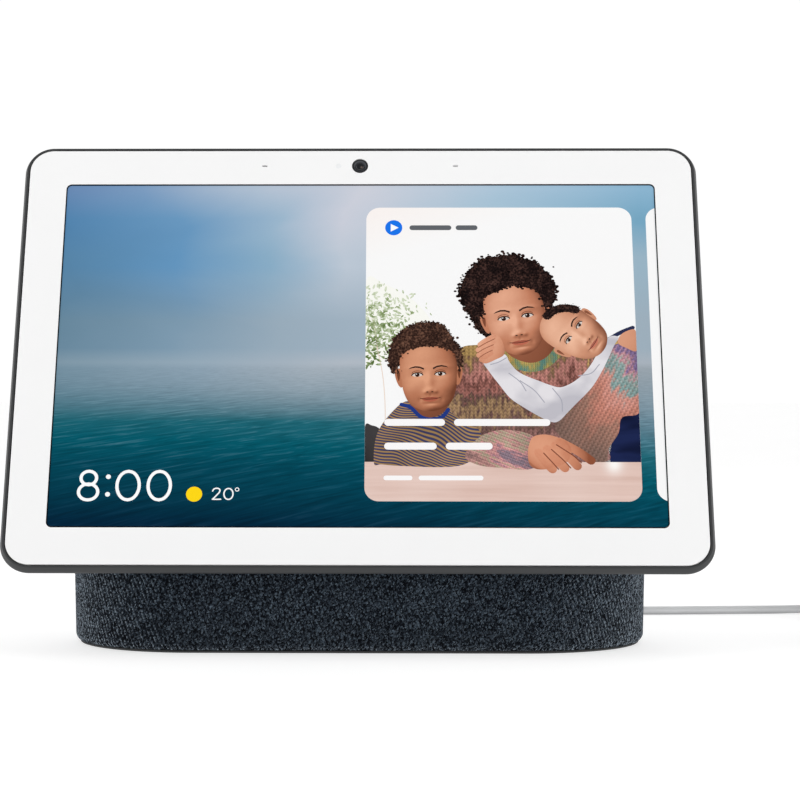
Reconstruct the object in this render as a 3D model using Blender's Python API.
"""Smart display: a tilted touch screen fixed to a fabric-covered speaker base, with its power lead.

Units are metres. +Z is up, the screen faces -Y, and the origin is on the table under the middle of the
object. Display parts are modelled flat, facing -Y, about the middle of the glass, and lean back with
the empty display_axis. In that flat frame x runs along the screen, y is the depth behind the glass and
z runs up the screen.
"""

import math

import bmesh
import bpy
from mathutils import Vector

MM = 0.001

# Overall sizes
HEIGHT = 182.55 * MM
DEPTH = 101.23 * MM
LEAN = math.radians(25.2)

# Display
GLASS_WIDTH = 245.8 * MM
GLASS_HEIGHT = 165.0 * MM
GLASS_THICKNESS = 1.1 * MM
GLASS_CORNER = 8.6 * MM
GLASS_DROP = 75.57 * MM  # from the top of the housing down to the middle of the glass
GLASS_BACK = 35.34 * MM  # from the foremost point of the display back to the middle of the glass
HOUSING_FLOOR = 11.4 * MM  # depth of the housing's inner face behind the glass front
EYE_LEVEL = 76.0 * MM  # height of the camera, sensor and microphones above the middle of the glass
MICROPHONE_X = 35.5 * MM
SENSOR_X = -8.0 * MM
PANEL_WIDTH = 222.0 * MM
PANEL_HEIGHT = 141.0 * MM

# Base
BASE_FRONT = -39.4 * MM
BASE_BACK = DEPTH / 2
BASE_HALF_WIDTH = 104.2 * MM
BASE_FLARE = 0.02  # how fast the half width grows with height
SHOULDER = 46.0 * MM  # the base is upright below this height and domed above it
DOME_TOP = 122.0 * MM
DOME_Y = -10.0 * MM  # where the dome's back would end at its top
FABRIC_BOTTOM = 1.2 * MM
ROUND_TOP = 3.8 * MM  # the bottom edge is rounded up to here
ROUND_IN = 1.2 * MM  # how far the rounding moves the bottom edge in
LOW_LEVELS = [z * MM for z in (1.2, 1.8, 2.6, 3.8, 12, 27, 46)]  # plan outlines up to the shoulder
FABRIC_THICKNESS = 1.4 * MM
FOOT_EDGE = [(z * MM, inset * MM) for z, inset in ((0, 3.0), (0.3, 1.8), (0.9, 1.6))]
SHELL_INSET = 1.8 * MM
SHELL_THICKNESS = 2.4 * MM
SHELL_BOTTOM = 4.3 * MM
STAND_GAP = 0.3 * MM  # between the housing's back and the base

# Loudspeakers
WOOFER_Z = 54.5 * MM
WOOFER_FACE = 32.0 * MM
TWEETER_X = 50.0 * MM
TWEETER_Z = 16.0 * MM

# Controls on the back of the display
SWITCH_Z = 62.0 * MM
SWITCH_TRAVEL = 4.0 * MM
ROCKER_X = 98.0 * MM
ROCKER_Z = 28.0 * MM

# Neck opening and the screws that hold the display to the base, in the flat display frame
NECK_Z = -56.0 * MM
STAND_SCREWS = [(sx * 45 * MM, z * MM) for sx in (-1, 1) for z in (-63, -40)]

# Screws that hold the base plate
BASE_SCREWS = [(sx * 70 * MM, y * MM) for sx in (-1, 1) for y in (-31.3, 41.5)]

# Power lead
JACK_Z = 11.5 * MM
CORD_RADIUS = 1.7 * MM
CORD_START = 70.3 * MM
COIL_CENTRE = Vector((0.207, 0.0902, 0.0))
COIL_INNER = 13.5 * MM
COIL_OUTER = 24.6 * MM
COIL_BOTTOM = 0.9 * MM
COIL_TOP = 15.0 * MM
ADAPTER_CENTRE = Vector((0.218, -0.006, 0.0142))
ADAPTER_SIDE = 58.0 * MM
ADAPTER_CORD_Z = 12.0 * MM
BLADE_X = 6.35 * MM

# The lead from the plug to the coil, and from the coil to the adapter
PLUG_ROUTE = [
    (0.0, 0.0703, 0.0115),
    (0.0, 0.0780, 0.0112),
    (0.0015, 0.0880, 0.0088),
    (0.0070, 0.0990, 0.0045),
    (0.0180, 0.1080, 0.00215),
    (0.0360, 0.1112, 0.0018),
    (0.0600, 0.1085, 0.0018),
    (0.0870, 0.1058, 0.0018),
    (0.1163, 0.1059, 0.0018),
    (0.1368, 0.1078, 0.0018),
    (0.1533, 0.1097, 0.0018),
    (0.1680, 0.1114, 0.0018),
    (0.1800, 0.1125, 0.0020),
    (0.1925, 0.1128, 0.0025),
]
ADAPTER_ROUTE = [
    (0.2278, 0.0735, 0.0130),
    (0.2262, 0.0650, 0.0128),
    (0.2222, 0.0560, 0.0124),
    (0.2190, 0.0480, 0.0121),
    (0.2180, 0.0423, 0.0120),
]

display_axis = None


# ---------------------------------------------------------------- helpers


def clear_scene():
    for obj in list(bpy.data.objects):
        bpy.data.objects.remove(obj, do_unlink=True)


def material(name, colour, roughness, metallic=0.0):
    made = bpy.data.materials.new(name)
    made.use_nodes = True
    shader = made.node_tree.nodes["Principled BSDF"]
    shader.inputs["Base Color"].default_value = (*colour, 1.0)
    shader.inputs["Roughness"].default_value = roughness
    shader.inputs["Metallic"].default_value = metallic
    return made


def place(name, bm, look=None, parent=None, location=(0, 0, 0)):
    """Turns a bmesh into a named object with its normals out and its round faces smooth."""
    bmesh.ops.remove_doubles(bm, verts=bm.verts, dist=1e-7)
    bmesh.ops.recalc_face_normals(bm, faces=bm.faces)
    mesh = bpy.data.meshes.new(name)
    bm.to_mesh(mesh)
    bm.free()
    mesh.shade_smooth()
    mesh.set_sharp_from_angle(angle=math.radians(35))
    obj = bpy.data.objects.new(name, mesh)
    bpy.context.scene.collection.objects.link(obj)
    obj.parent = parent
    obj.location = location
    if look:
        mesh.materials.append(look)
    return obj


def loft(rings):
    """A closed skin through rings that all have the same number of points, capped at both ends."""
    bm = bmesh.new()
    rows = [[bm.verts.new(point) for point in ring] for ring in rings]
    count = len(rows[0])
    for low, high in zip(rows, rows[1:]):
        for i in range(count):
            j = (i + 1) % count
            bm.faces.new((low[i], low[j], high[j], high[i]))
    bm.faces.new(rows[0])
    bm.faces.new(rows[-1])
    return bm


def tube_of(outer, inner):
    """A closed wall between an outer and an inner stack of rings, joined at both ends."""
    bm = bmesh.new()
    stack = [*outer, *reversed(inner)]
    rows = [[bm.verts.new(point) for point in ring] for ring in stack]
    count = len(rows[0])
    for low, high in zip(rows, [*rows[1:], rows[0]]):
        for i in range(count):
            j = (i + 1) % count
            bm.faces.new((low[i], low[j], high[j], high[i]))
    return bm


def rounded_rect(width, height, radius, steps=7):
    """Points of a rounded rectangle about the origin."""
    points = []
    for quarter in range(4):
        angle = quarter * math.pi / 2
        sx, sy = [(1, 1), (-1, 1), (-1, -1), (1, -1)][quarter]
        for step in range(steps + 1):
            turn = angle + step / steps * math.pi / 2
            x = sx * (width / 2 - radius) + radius * math.cos(turn)
            y = sy * (height / 2 - radius) + radius * math.sin(turn)
            points.append((x, y))
    return points


def upright(points, depth, centre=(0, 0)):
    """Outline points stood up in the plane y = depth."""
    return [(x + centre[0], depth, z + centre[1]) for x, z in points]


def level(points, z, centre=(0, 0)):
    """Outline points laid flat at height z."""
    return [(x + centre[0], y + centre[1], z) for x, y in points]


def block(width, height, near, far, radius=0.8 * MM, centre=(0, 0), steps=3):
    """A rounded rectangle standing between two depths."""
    outline = rounded_rect(width, height, radius, steps)
    return loft([upright(outline, near, centre), upright(outline, far, centre)])


def flat_block(width, length, bottom, top, radius=0.8 * MM, centre=(0, 0), steps=3):
    """A rounded rectangle lying between two heights."""
    outline = rounded_rect(width, length, radius, steps)
    return loft([level(outline, bottom, centre), level(outline, top, centre)])


def circle(radius, steps):
    return [
        (radius * math.cos(2 * math.pi * i / steps), radius * math.sin(2 * math.pi * i / steps))
        for i in range(steps)
    ]


def turned_y(profile, steps=32, centre=(0, 0)):
    """A solid turned about a line along Y, from (radius, y) points of its outer side."""
    return loft([upright(circle(r, steps), y, centre) for r, y in profile])


def turned_z(profile, steps=24, centre=(0, 0)):
    """A solid turned about a vertical line, from (radius, z) points of its outer side."""
    return loft([level(circle(r, steps), z, centre) for r, z in profile])


def turned_ring_y(outer, inner, steps=32, centre=(0, 0)):
    """A ring turned about a line along Y, from the (radius, y) points of its two sides."""
    return tube_of(
        [upright(circle(r, steps), y, centre) for r, y in outer],
        [upright(circle(r, steps), y, centre) for r, y in inner],
    )


def cutter(name, bm, parent=None):
    """A shape that only cuts or joins others."""
    obj = place(name, bm, parent=parent)
    obj.hide_render = True
    obj.display_type = "WIRE"
    return obj


def combine(obj, other, operation="DIFFERENCE"):
    modifier = obj.modifiers.new(f"{operation.lower()}_{other.name}", "BOOLEAN")
    modifier.operation = operation
    modifier.object = other


def smooth_route(points, spacing):
    """Points at an even spacing along a smooth curve through the given points."""
    knots = [Vector(p) for p in points]
    knots = [2 * knots[0] - knots[1], *knots, 2 * knots[-1] - knots[-2]]
    fine = []
    for a, b, c, d in zip(knots, knots[1:], knots[2:], knots[3:]):
        for step in range(20):
            t = step / 20
            fine.append(
                0.5 * (2 * b + (c - a) * t + (2 * a - 5 * b + 4 * c - d) * t**2)
                + 0.5 * (3 * b - 3 * c + d - a) * t**3
            )
    fine.append(knots[-2])
    runs = [0.0]
    for a, b in zip(fine, fine[1:]):
        runs.append(runs[-1] + (b - a).length)
    count = max(2, round(runs[-1] / spacing))
    spaced, at = [], 0
    for i in range(count + 1):
        want = runs[-1] * i / count
        while at < len(runs) - 2 and runs[at + 1] < want:
            at += 1
        share = (want - runs[at]) / (runs[at + 1] - runs[at])
        spaced.append(fine[at].lerp(fine[at + 1], min(1.0, share)))
    return spaced


def tube(name, points, radius, look):
    """A round lead along a route, as a curve with a bevel and filled caps."""
    curve = bpy.data.curves.new(name, "CURVE")
    curve.dimensions = "3D"
    curve.bevel_depth = radius
    curve.bevel_resolution = 2
    curve.use_fill_caps = True
    spline = curve.splines.new("POLY")
    spline.points.add(len(points) - 1)
    for spot, point in zip(spline.points, points):
        spot.co = (*point, 1.0)
    curve.materials.append(look)
    obj = bpy.data.objects.new(name, curve)
    bpy.context.scene.collection.objects.link(obj)
    return obj


def empty(name, location, rotation=(0, 0, 0), parent=None):
    obj = bpy.data.objects.new(name, None)
    bpy.context.scene.collection.objects.link(obj)
    obj.parent = parent
    obj.location = location
    obj.rotation_euler = rotation
    return obj


# ---------------------------------------------------------------- display

# The flat cable runs down behind the frame and bends back through the neck opening: (depth, height)
FLEX_PATH = [
    (9.9, -17.5),
    (9.9, -30.0),
    (9.9, -44.0),
    (10.3, -50.0),
    (12.2, -54.5),
    (15.4, -57.0),
    (19.5, -60.5),
]


def glass_outline(grow):
    return rounded_rect(
        GLASS_WIDTH + 2 * grow, GLASS_HEIGHT + 2 * grow, max(GLASS_CORNER + grow, 1 * MM)
    )


def cover_glass(look):
    glass = place(
        "cover_glass",
        loft([upright(glass_outline(0), y) for y in (0, GLASS_THICKNESS)]),
        look,
        display_axis,
    )
    for side in (-1, 1):
        slot = block(1.8 * MM, 0.6 * MM, -MM, 3 * MM, 0.25 * MM, (side * MICROPHONE_X, EYE_LEVEL))
        combine(glass, cutter(f"slot_cutter_{side}", slot, display_axis))


def glass_gasket(look):
    rings = [[upright(glass_outline(g * MM), y * MM) for y in (1.4, 2.2)] for g in (-1.1, -2.3)]
    place("glass_gasket", tube_of(*rings), look, display_axis)


def screen_stack(panel_look, light_look, frame_look):
    place("lcd_panel", block(PANEL_WIDTH, PANEL_HEIGHT, 1.4 * MM, 3.2 * MM), panel_look, display_axis)
    place(
        "backlight_unit",
        block(PANEL_WIDTH + MM, PANEL_HEIGHT + MM, 3.5 * MM, 6.0 * MM),
        light_look,
        display_axis,
    )
    sheet = block(236 * MM, 155 * MM, 6.3 * MM, 7.3 * MM, 6 * MM)
    frame = place("mid_frame", sheet, frame_look, display_axis)
    for x in (-78 * MM, 78 * MM):
        hole = block(40 * MM, 60 * MM, 5 * MM, 9 * MM, 5 * MM, (x, 0))
        combine(frame, cutter(f"frame_cutter_{x:.3f}", hole, display_axis))


def front_sensors(black, board):
    centre = (0, EYE_LEVEL)
    lens = turned_y([(3.2 * MM, 1.4 * MM), (3.2 * MM, 2.6 * MM)], 24, centre)
    place("camera_lens", lens, black, display_axis)
    module = block(7.6 * MM, 7.6 * MM, 2.9 * MM, 6.0 * MM, centre=centre)
    place("camera_module", module, black, display_axis)
    place(
        "light_sensor",
        block(3 * MM, 2 * MM, 1.4 * MM, 2.3 * MM, 0.3 * MM, (SENSOR_X, EYE_LEVEL)),
        board,
        display_axis,
    )
    for name, x in (("microphone_left", -MICROPHONE_X), ("microphone_right", MICROPHONE_X)):
        can = block(4 * MM, 3 * MM, 1.5 * MM, 2.7 * MM, 0.3 * MM, (x, EYE_LEVEL))
        place(name, can, board, display_axis)


def electronics(board, metal, flex):
    place(
        "logic_board",
        block(120 * MM, 56 * MM, 8.1 * MM, 9.2 * MM, 2 * MM, (0, 12 * MM)),
        board,
        display_axis,
    )
    place(
        "heat_spreader",
        block(108 * MM, 44 * MM, 9.5 * MM, 10.8 * MM, 2 * MM, (0, 14 * MM)),
        metal,
        display_axis,
    )
    for name, x in (("wifi_antenna_left", -70 * MM), ("wifi_antenna_right", 70 * MM)):
        place(name, block(34 * MM, 8 * MM, 8.1 * MM, 8.9 * MM, MM, (x, 64 * MM)), flex, display_axis)
    half, thick, rise = 8 * MM, 0.5 * MM, 0.3 * MM
    rings = []
    for depth, height in FLEX_PATH:
        near = (depth * MM, height * MM)
        far = (near[0] + thick, near[1] + rise)
        rings.append([(-half, *near), (half, *near), (half, *far), (-half, *far)])
    place("display_flex_cable", loft(rings), flex, display_axis)


# (depth behind the glass front, growth beyond the glass edge), in millimetres
HOUSING_OUTSIDE = [
    (0.3, 1.15),
    (1.0, 1.5),
    (2.0, 1.95),
    (3.0, 2.15),
    (4.0, 1.88),
    (5.0, 1.4),
    (6.0, 0.92),
    (7.2, 0.0),
    (8.6, -1.7),
    (10.0, -4.6),
    (11.2, -8.4),
    (12.2, -13.5),
    (12.8, -19.0),
    (13.0, -25.0),
]
HOUSING_INSIDE = [
    (0.3, 0.35),
    (2.5, 0.35),
    (2.5, -2.4),
    (7.4, -2.4),
    (8.8, -4.8),
    (10.2, -9.0),
    (11.4, -17.0),
]


def rear_housing(look):
    rings = [upright(glass_outline(g * MM), y * MM) for y, g in reversed(HOUSING_INSIDE)]
    rings += [upright(glass_outline(g * MM), y * MM) for y, g in HOUSING_OUTSIDE]
    housing = place("rear_housing", loft(rings), look, display_axis)
    cuts = {
        "neck": block(32 * MM, 12 * MM, 9 * MM, 16 * MM, 2 * MM, (0, NECK_Z)),
        "switch": block(10.8 * MM, 4.4 * MM, 9 * MM, 16 * MM, 0.8 * MM, (0, SWITCH_Z)),
        "rocker": block(5.5 * MM, 28.7 * MM, 9 * MM, 16 * MM, 1.5 * MM, (ROCKER_X, ROCKER_Z)),
    }
    for name, bm in cuts.items():
        combine(housing, cutter(f"housing_{name}_cutter", bm, display_axis))
    for i, spot in enumerate(STAND_SCREWS):
        hole = turned_y([(1.8 * MM, 9 * MM), (1.8 * MM, 16 * MM)], 12, spot)
        combine(housing, cutter(f"housing_screw_cutter_{i}", hole, display_axis))


def stand_screws(look):
    profile = [(2.7, 10.1), (2.7, 11.2), (1.4, 11.2), (1.4, 20.0)]
    for i, spot in enumerate(STAND_SCREWS):
        bm = turned_y([(r * MM, y * MM) for r, y in profile], 12, spot)
        place(f"stand_screw_{i + 1}", bm, look, display_axis)


def controls(knob_look, board):
    """The privacy switch and the volume rocker, each with its origin on its joint."""
    at_switch = (-SWITCH_TRAVEL / 2, 0, SWITCH_Z)
    lever = block(6 * MM, 3.6 * MM, 10.3 * MM, 13.9 * MM, 0.7 * MM)
    knob = place("privacy_switch", lever, knob_look, display_axis, at_switch)
    rim = block(12 * MM, 6 * MM, 9.9 * MM, 10.8 * MM, 0.7 * MM)
    flange = cutter("switch_flange", rim, display_axis)
    flange.location = at_switch
    combine(knob, flange, "UNION")
    place(
        "privacy_switch_board",
        block(20 * MM, 8 * MM, 8.2 * MM, 9.3 * MM, centre=(0, SWITCH_Z)),
        board,
        display_axis,
    )
    at_rocker = (ROCKER_X, 10.4 * MM, ROCKER_Z)
    key = block(4.8 * MM, 28 * MM, -0.5 * MM, 3.3 * MM, 1.2 * MM)
    rocker = place("volume_rocker", key, knob_look, display_axis, at_rocker)
    rim = block(6.8 * MM, 32 * MM, -1.0 * MM, 0, 1.2 * MM)
    flange = cutter("rocker_flange", rim, display_axis)
    flange.location = at_rocker
    combine(rocker, flange, "UNION")
    place(
        "volume_board",
        block(10 * MM, 38 * MM, 7.5 * MM, 8.5 * MM, centre=(ROCKER_X, ROCKER_Z)),
        board,
        display_axis,
    )


# ---------------------------------------------------------------- base


def stadium(half_width, front, back, steps=12):
    """Plan outline with two parallel long sides and two round ends, from front to back."""
    radius = (back - front) / 2
    middle = (back + front) / 2
    points = []
    for side in (1, -1):
        for step in range(steps + 1):
            angle = (step / steps - 0.5) * math.pi
            x = side * (half_width - radius + radius * math.cos(angle))
            points.append((x, middle + side * radius * math.sin(angle)))
    return points


def base_rings(inset, bottom):
    """Plan outlines of the base from bottom to top, moved in by inset; the dome closes above."""
    top = DOME_TOP - inset
    rings = []
    for z in [bottom, *(h for h in LOW_LEVELS if h > bottom + 0.4 * MM)]:
        edge = (ROUND_TOP - max(z, FABRIC_BOTTOM)) / (ROUND_TOP - FABRIC_BOTTOM)
        moved_in = inset + ROUND_IN * max(edge, 0.0) ** 2
        half_width = BASE_HALF_WIDTH + BASE_FLARE * z - moved_in
        rings.append(level(stadium(half_width, BASE_FRONT + moved_in, BASE_BACK - moved_in), z))
    half_width = BASE_HALF_WIDTH + BASE_FLARE * SHOULDER - inset
    for share in (0.16, 0.31, 0.45, 0.58, 0.69, 0.79, 0.87, 0.93, 0.972):
        z = SHOULDER + share * (top - SHOULDER)
        across = (1 - share**2.6) ** 0.5
        back = DOME_Y + (BASE_BACK - inset - DOME_Y) * (1 - share**2.4) ** 0.5
        rings.append(level(stadium(half_width * across, BASE_FRONT + inset, back), z))
    return rings


def display_side(gap):
    """Takes away what lies before the display's rounded back, as far as this gap behind it."""
    rings = [upright(glass_outline(HOUSING_OUTSIDE[3][1] * MM + gap), -0.3)]
    rings += [upright(glass_outline(g * MM + gap), y * MM + gap) for y, g in HOUSING_OUTSIDE[3:]]
    return cutter(f"display_side_{gap * 1000:.2f}", loft(rings), display_axis)


def fabric_cover(look, jack_hole):
    fabric = place("fabric_cover", loft(base_rings(0, FABRIC_BOTTOM)), look)
    inside = cutter("fabric_inside", loft(base_rings(FABRIC_THICKNESS, -5 * MM)))
    combine(fabric, inside)
    combine(fabric, display_side(STAND_GAP))
    combine(fabric, jack_hole)


def base_shell(look, jack_hole):
    """The speaker enclosure: an open-bottomed moulding that the fabric covers."""
    shell = place("base_shell", loft(base_rings(SHELL_INSET, SHELL_BOTTOM)), look)
    combine(shell, display_side(STAND_GAP + 0.01 * MM))
    inside = cutter("shell_inside", loft(base_rings(SHELL_INSET + SHELL_THICKNESS, -5 * MM)))
    combine(inside, display_side(STAND_GAP + SHELL_THICKNESS))
    combine(shell, inside)
    for i, spot in enumerate(BASE_SCREWS):
        post = turned_z([(4.2 * MM, SHELL_BOTTOM), (4.2 * MM, 14 * MM)], 16, spot)
        combine(shell, cutter(f"boss_{i}", post), "UNION")
    holes = {
        "woofer": turned_y([(34 * MM, 36 * MM), (34 * MM, 60 * MM)], 32, (0, WOOFER_Z)),
        "neck": block(32 * MM, 12 * MM, 11 * MM, 20 * MM, 2 * MM, (0, NECK_Z)),
    }
    combine(shell, cutter("shell_woofer_cutter", holes["woofer"]))
    combine(shell, cutter("shell_neck_cutter", holes["neck"], display_axis))
    for side in (-1, 1):
        spot = (side * TWEETER_X, TWEETER_Z)
        hole = turned_y([(7.5 * MM, -50 * MM), (7.5 * MM, -34 * MM)], 16, spot)
        combine(shell, cutter(f"shell_tweeter_cutter_{side}", hole))
    for i, spot in enumerate(STAND_SCREWS):
        hole = turned_y([(1.8 * MM, 11 * MM), (1.8 * MM, 20 * MM)], 12, spot)
        combine(shell, cutter(f"shell_stand_cutter_{i}", hole, display_axis))
    for i, spot in enumerate(BASE_SCREWS):
        hole = turned_z([(1.65 * MM, 2 * MM), (1.65 * MM, 12.5 * MM)], 12, spot)
        combine(shell, cutter(f"shell_base_cutter_{i}", hole))
    combine(shell, jack_hole)


def base_bottom(plate_look, foot_look, screw_look):
    """The bottom cover, its screws and the rubber foot under them."""
    inset = 3.4 * MM
    outline = stadium(BASE_HALF_WIDTH - inset, BASE_FRONT + inset, BASE_BACK - inset)
    plate = place("base_plate", loft([level(outline, z * MM) for z in (1.4, 4.0)]), plate_look)
    rings = []
    for z, inset in FOOT_EDGE:
        outline = stadium(BASE_HALF_WIDTH - inset, BASE_FRONT + inset, BASE_BACK - inset)
        rings.append(level(outline, z))
    place("rubber_foot", loft(rings), foot_look)
    well = [(3.0, 0.0), (3.0, 3.2), (1.65, 3.2), (1.65, 6.0)]
    profile = [(2.6, 1.7), (2.6, 2.9), (1.3, 2.9), (1.3, 11.0)]
    for i, spot in enumerate(BASE_SCREWS):
        bore = turned_z([(r * MM, z * MM) for r, z in well], 12, spot)
        combine(plate, cutter(f"plate_cutter_{i}", bore))
        screw = turned_z([(r * MM, z * MM) for r, z in profile], 12, spot)
        place(f"base_screw_{i + 1}", screw, screw_look)


def woofer(metal, magnet_look, rubber, cone_look):
    """A 75 mm driver that faces the back of the base."""
    centre = (0, WOOFER_Z)

    def at(profile):
        return [(r * MM, WOOFER_FACE + y * MM) for r, y in profile]

    basket = turned_ring_y(
        at([(37.0, 0), (37.0, -2.4), (33.6, -3.0), (18, -24.5), (15, -24.5)]),
        at([(33.2, 0), (33.2, -2.0), (31.6, -3.0), (16.2, -22.4), (15, -22.4)]),
        32,
        centre,
    )
    place("woofer_basket", basket, metal)
    place(
        "woofer_magnet",
        turned_y(at([(13.5, -22.0), (13.5, -24.8), (23.5, -24.8), (23.5, -37.0)]), 32, centre),
        magnet_look,
    )
    surround = turned_ring_y(
        at([(32.8, 0.2), (32.8, -0.7), (29.6, -0.7), (29.6, 0.1)]),
        at([(32.3, 1.3), (31.4, 2.3), (30.4, 1.4), (30.0, 0.4)]),
        32,
        centre,
    )
    place("woofer_surround", surround, rubber)
    back = [(12.6, -17.6), (12.6, -14.0), (29.2, -0.9), (29.2, -0.1), (28.4, -0.1)]
    cap = [(13.0, -11.8), (10.5, -9.2), (6.0, -7.4), (1.0, -6.8)]
    profile = [(r * MM, y * MM) for r, y in back + cap]
    cone = place("woofer_cone", turned_y(profile, 32), cone_look)
    cone.location = (0, WOOFER_FACE, WOOFER_Z)


def tweeters(metal):
    for name, side in (("tweeter_left", -1), ("tweeter_right", 1)):
        front = BASE_FRONT + SHELL_INSET + SHELL_THICKNESS + 0.4 * MM
        profile = [(3.6, -2.4), (6.4, -0.8), (7.0, 0.0), (9.5, 0.0), (9.5, 3.0), (8.0, 3.0), (8.0, 12.0)]
        points = [(r * MM, front + y * MM) for r, y in profile]
        place(name, turned_y(points, 20, (side * TWEETER_X, TWEETER_Z)), metal)


def power_input(board, black):
    card = flat_block(90 * MM, 26 * MM, 6.0 * MM, 7.6 * MM, 2 * MM, (0, 10 * MM))
    place("power_board", card, board)
    socket = block(11 * MM, 10 * MM, 32 * MM, 44.6 * MM, 0.6 * MM, (0, JACK_Z))
    jack = place("dc_jack", socket, black)
    bore = turned_y([(3.05 * MM, 34 * MM), (3.05 * MM, 50 * MM)], 16, (0, JACK_Z))
    combine(jack, cutter("jack_bore", bore))
    sleeve = turned_ring_y(
        [(6.3 * MM, 45.2 * MM), (6.3 * MM, 50.4 * MM)],
        [(5.0 * MM, 45.2 * MM), (5.0 * MM, 50.4 * MM)],
        20,
        (0, JACK_Z),
    )
    place("jack_sleeve", sleeve, black)


# ---------------------------------------------------------------- power lead


def power_lead(grey, black, metal):
    centre = (0, JACK_Z)
    plug = [(2.75, 35.0), (2.75, 45.6), (4.4, 45.6), (4.5, 46.4), (4.5, 56.0), (4.1, 57.0)]
    place("dc_plug", turned_y([(r * MM, y * MM) for r, y in plug], 20, centre), grey)
    relief = [(3.3, 57.3), (3.3, 59.0), (2.9, 60.5), (2.2, 70.0)]
    place("plug_strain_relief", turned_y([(r * MM, y * MM) for r, y in relief], 20, centre), grey)
    tube("power_cord", smooth_route(PLUG_ROUTE, 7.5 * MM), CORD_RADIUS, grey)
    tube("power_cord_adapter_end", smooth_route(ADAPTER_ROUTE, 7.5 * MM), CORD_RADIUS, grey)
    soft = 2.5 * MM
    outer = [
        (COIL_OUTER - soft, COIL_BOTTOM),
        (COIL_OUTER, COIL_BOTTOM + soft),
        (COIL_OUTER, COIL_TOP - soft),
        (COIL_OUTER - soft, COIL_TOP),
    ]
    inner = [(COIL_INNER + COIL_OUTER - r, z) for r, z in outer]
    at = COIL_CENTRE.xy
    coil = tube_of(
        [level(circle(r, 40), z, at) for r, z in outer],
        [level(circle(r, 40), z, at) for r, z in inner],
    )
    place("cord_coil", coil, grey)
    cord_tie(black)
    adapter(grey, metal)


def cord_tie(look):
    """A strap round the bundle of turns, on the coil's side towards -X."""
    gap, thick, half_width = 0.3 * MM, 0.6 * MM, 5 * MM
    low = COIL_BOTTOM - gap - thick
    middle = COIL_CENTRE.x - (COIL_INNER + COIL_OUTER) / 2 - 0.15 * MM
    centre = (middle, (low + COIL_TOP + gap + thick) / 2)
    wide = COIL_OUTER - COIL_INNER + 2.4 * MM
    tall = COIL_TOP - COIL_BOTTOM + 2 * gap
    outer = rounded_rect(wide + 2 * thick, tall + 2 * thick, 1.4 * MM, 3)
    inner = rounded_rect(wide, tall, 0.8 * MM, 3)
    y = COIL_CENTRE.y
    band = tube_of(
        [upright(outer, y - half_width, centre), upright(outer, y + half_width, centre)],
        [upright(inner, y - half_width, centre), upright(inner, y + half_width, centre)],
    )
    place("cord_tie", band, look)


def adapter(grey, metal):
    """The wall adapter, lying flat, with its lead towards +Y and its blades towards -Y."""
    body = [(0.0, 50), (3.0, 56.4), (6.0, 58), (22.4, 58), (25.4, 56.4), (28.4, 50)]
    rings = []
    for z, side in body:
        outline = rounded_rect(side * MM, side * MM, (side / 2 - 15) * MM, 6)
        rings.append(level(outline, z * MM, ADAPTER_CENTRE.xy))
    place("power_adapter", loft(rings), grey)
    back = ADAPTER_CENTRE.y + ADAPTER_SIDE / 2
    spot = (ADAPTER_CENTRE.x, ADAPTER_CORD_Z)
    relief = [(3.4, 0.3), (3.4, 2.5), (3.0, 4.0), (2.2, 19.0)]
    place(
        "adapter_strain_relief",
        turned_y([(r * MM, back + y * MM) for r, y in relief], 16, spot),
        grey,
    )
    front = ADAPTER_CENTRE.y - ADAPTER_SIDE / 2
    for name, side in (("adapter_blade_left", -1), ("adapter_blade_right", 1)):
        spot = (ADAPTER_CENTRE.x + side * BLADE_X, ADAPTER_CENTRE.z)
        blade = block(1.5 * MM, 6.3 * MM, front - 16.3 * MM, front - 0.3 * MM, 0.5 * MM, spot)
        place(name, blade, metal)


# ---------------------------------------------------------------- assembly


def main():
    global display_axis
    clear_scene()
    display_axis = empty(
        "display_axis", (0, GLASS_BACK - DEPTH / 2, HEIGHT - GLASS_DROP), (-LEAN, 0, 0)
    )
    charcoal = material("housing_charcoal", (0.055, 0.056, 0.06), 0.45)
    fabric = material("charcoal_fabric", (0.02, 0.026, 0.036), 0.95)
    black = material("black_plastic", (0.02, 0.02, 0.022), 0.4)
    grey = material("lead_grey", (0.62, 0.63, 0.64), 0.5)
    white_glass = material("white_glass", (0.86, 0.86, 0.86), 0.08)
    panel = material("screen_black", (0.01, 0.02, 0.03), 0.2)
    reflector = material("backlight_white", (0.8, 0.8, 0.8), 0.5)
    steel = material("steel", (0.6, 0.6, 0.61), 0.35, 1.0)
    ferrite = material("magnet_dark", (0.08, 0.08, 0.08), 0.5)
    rubber = material("rubber", (0.05, 0.05, 0.05), 0.8)
    cone = material("paper_cone", (0.06, 0.06, 0.06), 0.9)
    board = material("circuit_board", (0.02, 0.12, 0.06), 0.5)
    flex = material("flex_amber", (0.35, 0.16, 0.03), 0.4)

    cover_glass(white_glass)
    glass_gasket(rubber)
    screen_stack(panel, reflector, steel)
    front_sensors(black, board)
    electronics(board, steel, flex)
    rear_housing(charcoal)
    stand_screws(steel)
    controls(charcoal, board)

    jack_bore = turned_y([(6.6 * MM, 44 * MM), (6.6 * MM, 60 * MM)], 20, (0, JACK_Z))
    jack_hole = cutter("jack_hole", jack_bore)
    fabric_cover(fabric, jack_hole)
    base_shell(black, jack_hole)
    base_bottom(charcoal, rubber, steel)
    woofer(steel, ferrite, rubber, cone)
    tweeters(steel)
    power_input(board, black)
    power_lead(grey, black, steel)


main()
